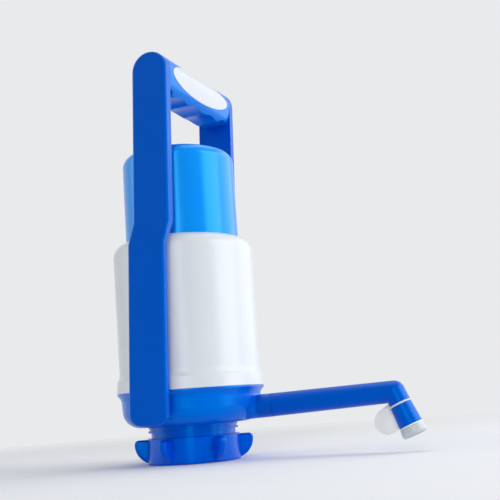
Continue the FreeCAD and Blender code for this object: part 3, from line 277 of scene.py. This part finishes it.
# The grip's lighter azure, 0078E0, is painted light: the same plastic as the arms, brighter where it
# faces the lamps.
painted_grip_light = add(arm_tree, "ShaderNodeMath", {0: between_arms, 1: high_up}, operation="MULTIPLY")
second_shade(arm_blue, "0078E0", painted_grip_light.outputs[0])
on_stub = share_along(cup_blue.node_tree, "X", STUB_START, STUB_START + BLEND)
second_shade(cup_blue, "0048C0", on_stub)

# %% [markdown]
# ## Natural polyethylene
# The nozzle's tip has no pigment. Unpigmented polyethylene is milky: light goes in, scatters and comes
# out again, so the wall glows and the edges look clearer than the middle. A small transmission share
# with a fairly high roughness gives the milk, and a subsurface share gives the glow.

# %% Milky clear plastic
STREAK = 4.55 * MM


def natural_polyethylene(name):
    """Milky plastic that some light passes through."""
    material, tree = empty_material(name)
    place = add(tree, "ShaderNodeTexCoord").outputs["Object"]
    streaks = add(tree, "ShaderNodeTexNoise", {"Vector": place, "Scale": 1 / STREAK, "Detail": 3.0})
    colour = add(
        tree,
        "ShaderNodeMix",
        {"Factor": streaks.outputs["Fac"], "A": linear("CBD4DA"), "B": linear("D5DCE1")},
        data_type="RGBA",
    )
    haze = add(
        tree,
        "ShaderNodeMapRange",
        {
            "Value": streaks.outputs["Fac"],
            "From Min": 0.3,
            "From Max": 0.7,
            "To Min": 0.26,
            "To Max": 0.32,
        },
    )
    ripple = add(
        tree,
        "ShaderNodeBump",
        {"Height": streaks.outputs["Fac"], "Strength": 0.01, "Distance": 0.1 * MM},
    )
    shader = add(
        tree,
        "ShaderNodeBsdfPrincipled",
        {
            "Base Color": colour.outputs["Result"],
            "Roughness": haze.outputs[0],
            "Normal": ripple.outputs["Normal"],
            "IOR": 1.51,
            "Transmission Weight": 0.2,
            "Subsurface Weight": 0.4,
            "Subsurface Radius": (0.003, 0.003, 0.003),
            "Subsurface Scale": 1.0,
        },
    )
    add(tree, "ShaderNodeOutputMaterial", {"Surface": shader.outputs["BSDF"]})
    print(name, "with a cell of", round(STREAK / MM, 1), "mm")
    return material


clear_milky = natural_polyethylene("polyethylene unpigmented milky")

# %% [markdown]
# ## Rubber
# The bellows, the flaps and the seals are black nitrile rubber. Rubber is moulded with a dusting of
# talc, which leaves it matte with a faint grey bloom in patches of a few millimetres.

# %% Rubber with a bloom
BLOOM = 5.56 * MM


def nitrile_rubber(name):
    """Matte black rubber with grey patches."""
    material, tree = empty_material(name)
    place = add(tree, "ShaderNodeTexCoord").outputs["Object"]
    bloom = add(
        tree,
        "ShaderNodeTexNoise",
        {"Vector": place, "Scale": 1 / BLOOM, "Detail": 5.0, "Roughness": 0.65},
    )
    colour = add(
        tree,
        "ShaderNodeMix",
        {"Factor": bloom.outputs["Fac"], "A": linear("1B1C1E"), "B": linear("3A3B3D")},
        data_type="RGBA",
    )
    skin = add(
        tree,
        "ShaderNodeBump",
        {"Height": bloom.outputs["Fac"], "Strength": 0.25, "Distance": 0.3 * MM},
    )
    shader = add(
        tree,
        "ShaderNodeBsdfPrincipled",
        {
            "Base Color": colour.outputs["Result"],
            "Roughness": 0.72,
            "Normal": skin.outputs["Normal"],
            "IOR": 1.52,
        },
    )
    add(tree, "ShaderNodeOutputMaterial", {"Surface": shader.outputs["BSDF"]})
    print(name, "with patches of", round(BLOOM / MM, 1), "mm")
    return material


black_rubber = nitrile_rubber("nitrile rubber moulded black")

# %% [markdown]
# ## Drawn steel
# The spring, the clips and the screws are drawn stainless wire. Drawing leaves fine lines, which break up
# the highlight. A wound wire turns every way, so the lines are drawn as plain noise about a millimetre
# across, coarser than the real ones.

# %% Stainless wire
DRAWN = 1.11 * MM


def drawn_steel(name):
    """Bright steel with an uneven polish."""
    material, tree = empty_material(name)
    place = add(tree, "ShaderNodeTexCoord").outputs["Object"]
    lines = add(tree, "ShaderNodeTexNoise", {"Vector": place, "Scale": 1 / DRAWN, "Detail": 2.0})
    polish = add(
        tree,
        "ShaderNodeMapRange",
        {
            "Value": lines.outputs["Fac"],
            "From Min": 0.3,
            "From Max": 0.7,
            "To Min": 0.22,
            "To Max": 0.38,
        },
    )
    relief = add(
        tree,
        "ShaderNodeBump",
        {"Height": lines.outputs["Fac"], "Strength": 0.1, "Distance": 0.1 * MM},
    )
    shader = add(
        tree,
        "ShaderNodeBsdfPrincipled",
        {
            "Base Color": linear("B4B6B8"),
            "Metallic": 1.0,
            "Roughness": polish.outputs[0],
            "Normal": relief.outputs["Normal"],
        },
    )
    add(tree, "ShaderNodeOutputMaterial", {"Surface": shader.outputs["BSDF"]})
    print(name, "with lines of", round(DRAWN / MM, 1), "mm")
    return material


stainless = drawn_steel("stainless steel drawn")

# %% [markdown]
# ## Which solid is made of what
# Each solid of the frame gets its real material.

# %% Materials on the solids
finishes = {
    arm_blue: ("handle_frame",),
    nut_blue: ("neck_collet", "clamp_nut"),
    cup_blue: ("base_cup",),
    cap_blue: ("press_cap",),
    spout_blue: ("spout_tube", "nozzle_sleeve"),
    milk_white: ("pump_housing", "water_duct", "valve_plate", "plunger_plate", "tether_ring"),
    panel_white_painted_shade: ("grip_panel",),
    lid_white: ("spout_lid",),
    clear_milky: ("nozzle_tip",),
    black_rubber: (
        "neck_gasket",
        "duct_seal",
        "check_flap",
        "intake_flap",
        "bellows",
        "spout_oring",
    ),
    stainless: (
        "plate_screws",
        "plunger_screws",
        "lower_bellows_band",
        "upper_bellows_band",
        "return_spring",
        "pivot_clips",
    ),
}
for material, names in finishes.items():
    for name in names:
        nodes[name].data.materials.clear()
        nodes[name].data.materials.append(material)
print("solids with a material:", sum(len(names) for names in finishes.values()))

# %% [markdown]
# ## Helpers for new pieces
# Edit mode shapes what is selected. A script has no mouse, so it picks points and faces by a test on
# their place or normal. A finished piece keeps its object at the origin. So its place goes into the mesh
# at the end, when it also gets its material and is tied to the body that it moves with.

# %% Picking and settling
SAME_PLACE, MERGE, SHARP_FROM = 0.05 * MM, 0.001 * MM, math.radians(40.0)


def pick(mesh, wanted, kind="VERT"):
    """Select the points or faces of an edited mesh that pass a test."""
    bpy.ops.mesh.select_mode(type=kind)
    bpy.ops.mesh.select_all(action="DESELECT")
    bpy.ops.object.mode_set(mode="OBJECT")
    for thing in mesh.vertices if kind == "VERT" else mesh.polygons:
        thing.select = wanted(thing)
    bpy.ops.object.mode_set(mode="EDIT")


def settle(piece, matrix, material, body, slot, *stands_for):
    """Finish a piece: place, material, shading, body and the solid it stands for. The slot is not used.
    """
    bpy.ops.object.mode_set(mode="OBJECT")
    piece.data.transform(matrix)
    piece.data.materials.append(material)
    bpy.ops.object.shade_smooth_by_angle(angle=SHARP_FROM)
    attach(piece, body)
    if stands_for:
        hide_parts(*stands_for)
    print(piece.name, "has", len(piece.data.polygons), "faces")


# %% [markdown]
# ## Where the nozzle is
# The lid and a bead are fitted to the nozzle, which leans. The frame says how: the joint on which the
# lid's ring turns has a point on the nozzle's middle line and the direction of that line. They give one
# matrix that takes a piece, drawn upright about the origin, to the nozzle.

# %% The nozzle's matrix
def joint_named(name):
    """What the frame says about one joint."""
    return next(joint for joint in frame["joints"] if joint["name"] == name)


ring_joint = joint_named("tether_turn")
lean = Vector((0, 0, -1)).rotation_difference(Vector(ring_joint["axis"]))
on_nozzle = Matrix.Translation(Vector(ring_joint["pos_m"])) @ lean.to_matrix().to_4x4()
print("the nozzle leans", round(math.degrees(lean.angle), 1), "degrees")

# %% [markdown]
# ## The lid
# The lid is a soft teardrop: a disc with a raised rim, drawn out into a strap that runs up to the ring on
# the nozzle. It starts as a flat disc with a filled face. The points that look towards the strap are
# pulled out, onto the two straight flanks that touch both disc and strap, and at the top onto the
# strap's round end. Then the face is extruded for the wall, and its front is inset and pushed in, which
# leaves the rim.

# %% Teardrop lid
LID_RADIUS, LID_SIDES, LID_WALL = 8.4 * MM, 72, 1.6 * MM
RIM_WIDTH, RIM_STEP, EDGE_ROUND = 1.1 * MM, 0.5 * MM, 0.35 * MM
STRAP_RADIUS, STRAP_REACH = 1.8 * MM, 9.9 * MM
bpy.ops.object.select_all(action="DESELECT")
bpy.ops.mesh.primitive_circle_add(vertices=LID_SIDES, radius=LID_RADIUS, fill_type="NGON")
lid = bpy.context.object
lid.name = "teardrop_lid"
bpy.ops.object.mode_set(mode="EDIT")
side = math.tau / LID_SIDES
flank_end = math.acos((LID_RADIUS - STRAP_RADIUS) / STRAP_REACH)
last = int(flank_end / side)
for step in range(-last, last + 1):
    angle = abs(step) * side
    reach = LID_RADIUS / math.cos(flank_end - angle)
    across = STRAP_REACH * math.sin(angle)
    if across < STRAP_RADIUS:
        round_end = STRAP_REACH * math.cos(angle) + math.sqrt(STRAP_RADIUS**2 - across**2)
        reach = min(reach, round_end)
    toward = Vector((math.cos(step * side), math.sin(step * side), 0))
    spot = toward * LID_RADIUS
    pick(lid.data, lambda v: (v.co - spot).length < SAME_PLACE)
    bpy.ops.transform.translate(value=toward * (reach - LID_RADIUS))
bpy.ops.mesh.select_all(action="SELECT")
bpy.ops.mesh.extrude_region_move(TRANSFORM_OT_translate={"value": (0, 0, LID_WALL)})
pick(lid.data, lambda f: f.normal.z > 0.9, "FACE")
bpy.ops.mesh.inset(thickness=RIM_WIDTH)
bpy.ops.transform.translate(value=(0, 0, -RIM_STEP))
bpy.ops.mesh.select_all(action="SELECT")
bpy.ops.mesh.normals_make_consistent(inside=False)
bpy.ops.object.mode_set(mode="OBJECT")
softener = lid.modifiers.new("soft edges", "BEVEL")
softener.width, softener.segments, softener.limit_method = EDGE_ROUND, 3, "ANGLE"
bpy.ops.object.modifier_apply(modifier=softener.name)
print("lid is", [round(length / MM, 1) for length in lid.dimensions], "mm")

# %% [markdown]
# The lid hangs half behind the nozzle. Its strap leans up towards the ring, its face stands upright, and
# the whole lid is turned a little about the nozzle, so that the eye sees it as an oval.

# %% The lid's place
LID_CENTRE = Vector((-14.2, 2.8, -15.2)) * MM
STRAP_LEAN, STAND_UP, TURN_IN = (math.radians(angle) for angle in (57.0, 90.0, 20.0))
leant = Matrix.Rotation(STRAP_LEAN, 4, "Z")
upright = Matrix.Rotation(STAND_UP, 4, "X") @ leant
hung = Matrix.Translation(LID_CENTRE) @ Matrix.Rotation(TURN_IN, 4, "Z") @ upright
settle(lid, on_nozzle @ hung, lid_white, "lid", "white_plastic", "spout_lid")

# %% [markdown]
# ## The bead at the tip
# The clear tip snaps into the blue sleeve, and the edge that stays outside is a thin round bead. It reads
# as one bright line across the nozzle. A torus primitive would do, but a small circle is spun about the
# nozzle here, because a spin makes such a ring from any profile.

# %% Tip bead
BEAD_RADIUS, BEAD_DEPTH, BEAD_STEPS = 7.95 * MM, 24.1 * MM, 72
PROFILE_RADIUS, PROFILE_SIDES = 0.4 * MM, 12
bpy.ops.object.select_all(action="DESELECT")
bpy.ops.mesh.primitive_circle_add(
    vertices=PROFILE_SIDES,
    radius=PROFILE_RADIUS,
    location=(BEAD_RADIUS, 0, -BEAD_DEPTH),
    rotation=(math.pi / 2, 0, 0),
)
bead = bpy.context.object
bead.name = "tip_bead"
bpy.ops.object.transform_apply(location=True, rotation=True, scale=True)
bpy.ops.object.mode_set(mode="EDIT")
bpy.ops.mesh.select_all(action="SELECT")
bpy.ops.mesh.spin(steps=BEAD_STEPS, angle=math.tau, center=(0, 0, 0), axis=(0, 0, 1))
bpy.ops.mesh.select_all(action="SELECT")
bpy.ops.mesh.remove_doubles(threshold=MERGE)
bpy.ops.mesh.normals_make_consistent(inside=False)
settle(bead, on_nozzle, lid_white, "spout", "white_plastic")

# %% [markdown]
# ## A shallower grip
# The real grip is a rounded bar whose underside lies close below the white panel, with low ridges
# between the fingers. The solid's grip is deeper there. So the handle is a copy of the solid in which
# the points under the panel are drawn up to less than half their depth: that blunts the bar's foot and
# lowers its ridges in one move. Weighted normals then keep the broad flat faces flat beside their narrow
# round edges.

# %% Carrying handle
def merged_copy(node, name):
    """A copy of a solid with its loose triangles merged, in edit mode with all of it selected."""
    bpy.ops.object.select_all(action="DESELECT")
    copy = bpy.data.objects.new(name, nodes[node].data.copy())
    copy.data.materials.clear()
    bpy.context.scene.collection.objects.link(copy)
    copy.select_set(True)
    bpy.context.view_layer.objects.active = copy
    bpy.ops.mesh.customdata_custom_splitnormals_clear()
    bpy.ops.object.mode_set(mode="EDIT")
    bpy.ops.mesh.select_all(action="SELECT")
    bpy.ops.mesh.remove_doubles(threshold=MERGE)
    return copy


PANEL_FOOT, DEPTH_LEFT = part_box("grip_panel")[0][2], 0.42
BAR_END = ARM_INSIDE + SAME_PLACE
handle = merged_copy("handle_frame", "carrying_handle")
pick(handle.data, lambda v: abs(v.co.y) < BAR_END and GRIP_FLOOR < v.co.z < PANEL_FOOT)
bpy.ops.transform.resize(value=(1, 1, DEPTH_LEFT), center_override=(0, 0, PANEL_FOOT))
settle(handle, Matrix.Identity(4), arm_blue, "handle", "blue_plastic", "handle_frame")
flat_faces = handle.modifiers.new("flat faces", "WEIGHTED_NORMAL")
flat_faces.keep_sharp = True
bpy.ops.object.modifier_apply(modifier=flat_faces.name)

# %% [markdown]
# ## Copies of the bellows and spring
# The rubber bellows and the wire spring inside it shorten when the cap is pressed, which a rigid solid
# can't. Each gets a twin here: a copy of the solid's own mesh that stands in for the solid.


def soft_twin(node, name, material, slot):
    """A copy of a solid that stands in for the solid."""
    twin = merged_copy(node, name)
    settle(twin, Matrix.Identity(4), material, "pump_body", slot, node)
    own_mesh(twin)


soft_twin("bellows", "folding_bellows", black_rubber, "rubber")
soft_twin("return_spring", "giving_spring", stainless, "steel")

# %% [markdown]
# ## Floor
# The pump stands on a plain pale floor. It fades away within a metre, so that no horizon shows.

# %% Pale floor
FLOOR_WIDTH, FLOOR_DROP, FADE_START, FADE_END, PATCH = 12.0, 0.3 * MM, 0.3, 0.9, 0.3
bpy.ops.object.select_all(action="DESELECT")
bpy.ops.mesh.primitive_plane_add(size=FLOOR_WIDTH, location=(0, 0, -FLOOR_DROP))
floor = bpy.context.object
floor.name = "floor"
paper, paper_tree = empty_material("matt paper pale grey")
paper_place = add(paper_tree, "ShaderNodeTexCoord").outputs["Object"]
patches = add(
    paper_tree, "ShaderNodeTexNoise", {"Vector": paper_place, "Scale": 1 / PATCH, "Detail": 4.0}
)
paper_colour = add(
    paper_tree,
    "ShaderNodeMix",
    {"Factor": patches.outputs["Fac"], "A": linear("F0F1F3"), "B": linear("F4F5F6")},
    data_type="RGBA",
)
paper_shader = add(
    paper_tree,
    "ShaderNodeBsdfPrincipled",
    {"Base Color": paper_colour.outputs["Result"], "Roughness": 0.85},
)
way_out = add(paper_tree, "ShaderNodeVectorMath", {0: paper_place}, operation="LENGTH")
fade = add(
    paper_tree,
    "ShaderNodeMapRange",
    {"Value": way_out.outputs["Value"], "From Min": FADE_START, "From Max": FADE_END},
    interpolation_type="SMOOTHSTEP",
)
clear = add(paper_tree, "ShaderNodeBsdfTransparent")
faded = add(
    paper_tree,
    "ShaderNodeMixShader",
    {0: fade.outputs[0], 1: paper_shader.outputs["BSDF"], 2: clear.outputs[0]},
)
add(paper_tree, "ShaderNodeOutputMaterial", {"Surface": faded.outputs[0]})
floor.data.materials.append(paper)
print("floor fades between", FADE_START, "and", FADE_END, "m")

# %% [markdown]
# ## Lamps
# Large soft lamps do what a light tent does: a wide one on the right, where the plastic is brightest, one
# behind that lights the far edges, a tall narrow one in front that draws a long soft line down the round
# pieces, a weak one on the left and one above.

# %% Five soft lamps
AIM = Vector((0.04, 0.0, 0.14))


def soft_lamp(name, place, size, power):
    """A rectangular lamp that faces the pump. `place` and `size` are metres, `power` is watts."""
    lamp = bpy.data.lights.new(name, "AREA")
    lamp.shape = "RECTANGLE"
    lamp.size, lamp.size_y = size
    lamp.energy = power
    holder = bpy.data.objects.new(name, lamp)
    holder.location = place
    holder.rotation_euler = (AIM - Vector(place)).to_track_quat("-Z", "Y").to_euler()
    bpy.context.scene.collection.objects.link(holder)
    print(name, "gives", power, "W")


soft_lamp("lamp right", (1.28, 0.18, 0.5), (0.9, 1.2), 11.5)
soft_lamp("lamp behind", (0.8, 1.05, 0.5), (1.1, 1.2), 4.8)
soft_lamp("lamp front", (0.45, -1.25, 0.5), (0.35, 1.1), 4.8)
soft_lamp("lamp left", (-1.3, -0.5, 0.5), (0.8, 1.2), 3.2)
soft_lamp("lamp above", (0.0, 0.2, 1.4), (1.2, 1.2), 4.4)

# %% [markdown]
# ## Room
# Behind the pump is a plain pale wall. The eye sees it at full brightness, and so do the rays that
# reflections and clear plastic send out, because gloss needs something pale to mirror. All other rays
# meet a dimmer room, so that the lamps and not the wall shape the light.

# %% World
world = bpy.data.worlds.new("soft room")
bpy.context.scene.world = world
world.use_nodes = True
world_tree = world.node_tree
world_tree.nodes.clear()
ray = add(world_tree, "ShaderNodeLightPath")
mirrored = add(
    world_tree,
    "ShaderNodeMath",
    {0: ray.outputs["Is Glossy Ray"], 1: ray.outputs["Is Transmission Ray"]},
    operation="MAXIMUM",
)
shown = add(
    world_tree,
    "ShaderNodeMath",
    {0: ray.outputs["Is Camera Ray"], 1: mirrored.outputs[0]},
    operation="MAXIMUM",
)
room = add(world_tree, "ShaderNodeBackground", {"Color": linear("DDE1E6"), "Strength": 0.42})
wall = add(world_tree, "ShaderNodeBackground", {"Color": linear("E9EAEC"), "Strength": 1.0})
seen = add(
    world_tree,
    "ShaderNodeMixShader",
    {0: shown.outputs[0], 1: room.outputs[0], 2: wall.outputs[0]},
)
add(world_tree, "ShaderNodeOutputWorld", {"Surface": seen.outputs[0]})
bpy.context.scene.view_settings.view_transform = "Standard"
print("view transform:", bpy.context.scene.view_settings.view_transform)

# %% [markdown]
# ## Camera
# The camera stands low, a little above the nut, and looks slightly up at the pump from its front left
# side. Its place and its turn were fitted to where the pump's edges lie in the photograph. The turn is
# built from three directions: the way it looks, its right and its up, with a small roll about the first.

# %% Camera
CAMERA_PLACE, LENS, SENSOR = (0.3088, -0.5606, 0.0362), 62.13, 36.0
heading, tilt, roll = math.radians(24.34), math.radians(10.21), math.radians(-4.14)
level = math.cos(tilt)
look = Vector((-math.sin(heading) * level, math.cos(heading) * level, math.sin(tilt)))
right = Vector((math.cos(heading), math.sin(heading), 0.0))
up = right.cross(look)
rolled_right = right * math.cos(roll) + up * math.sin(roll)
rolled_up = up * math.cos(roll) - right * math.sin(roll)
turn = Matrix((rolled_right, rolled_up, -look)).transposed()
camera_data = bpy.data.cameras.new("camera")
camera_data.sensor_width = SENSOR
camera_data.lens = LENS
camera_data.clip_start = 0.01
camera = bpy.data.objects.new("camera", camera_data)
camera.matrix_world = Matrix.Translation(CAMERA_PLACE) @ turn.to_4x4()
bpy.context.scene.collection.objects.link(camera)
bpy.context.scene.camera = camera
print("camera at", tuple(round(c, 4) for c in camera.location))
